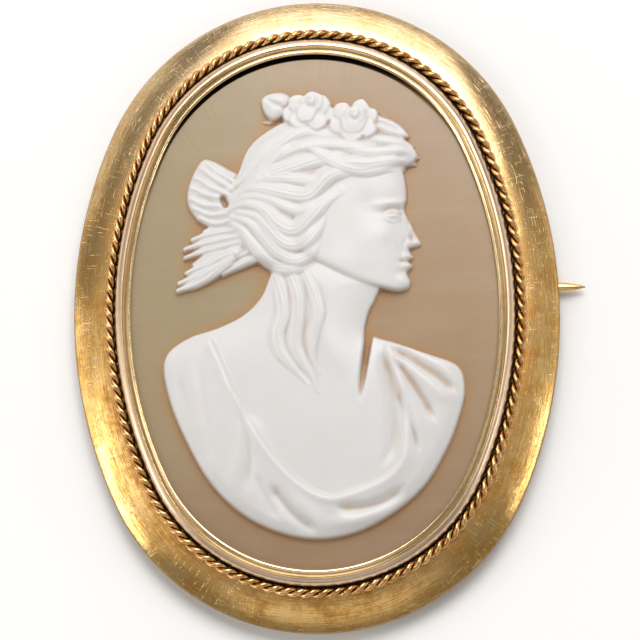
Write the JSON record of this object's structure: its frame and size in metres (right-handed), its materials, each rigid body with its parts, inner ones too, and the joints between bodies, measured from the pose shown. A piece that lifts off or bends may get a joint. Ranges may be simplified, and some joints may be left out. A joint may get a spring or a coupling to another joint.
{
  "type": "cameo brooch",
  "caption": "Oval brooch: carved shell cameo with a raised bust in a gold setting with a dished band and twisted wire edge, and a hinged pin and open catch behind",
  "frame": {"origin": "Middle of the underside of the box round the whole brooch, on the surface that it lies on, back down", "axes": "+X runs to the side where the pin's point shows, +Y runs to the top of the bust, +Z points out of the carving"},
  "size_m": [0.042, 0.0522, 0.0065],
  "materials": {
    "gold": "worn satin gold with brown tarnish in the recesses, polished on the bezel's lip",
    "shell": "polished sardonyx-coloured shell, tan ground with a white relief"
  },
  "bodies": {
    "brooch": {"setting": "gold", "rope_wire": "gold", "cameo": "shell", "hinge": "gold", "hinge_rivet": "gold", "catch": "gold"},
    "pin": {"pin": "gold"}
  },
  "joints": [
    {"name": "pin_hinge", "type": "hinge", "parent": "brooch", "child": "pin", "pos_m": [-0.0175, 0.0019, 0.0008], "axis": [0, 1, 0], "range_deg": [0, 75]}
  ]
}
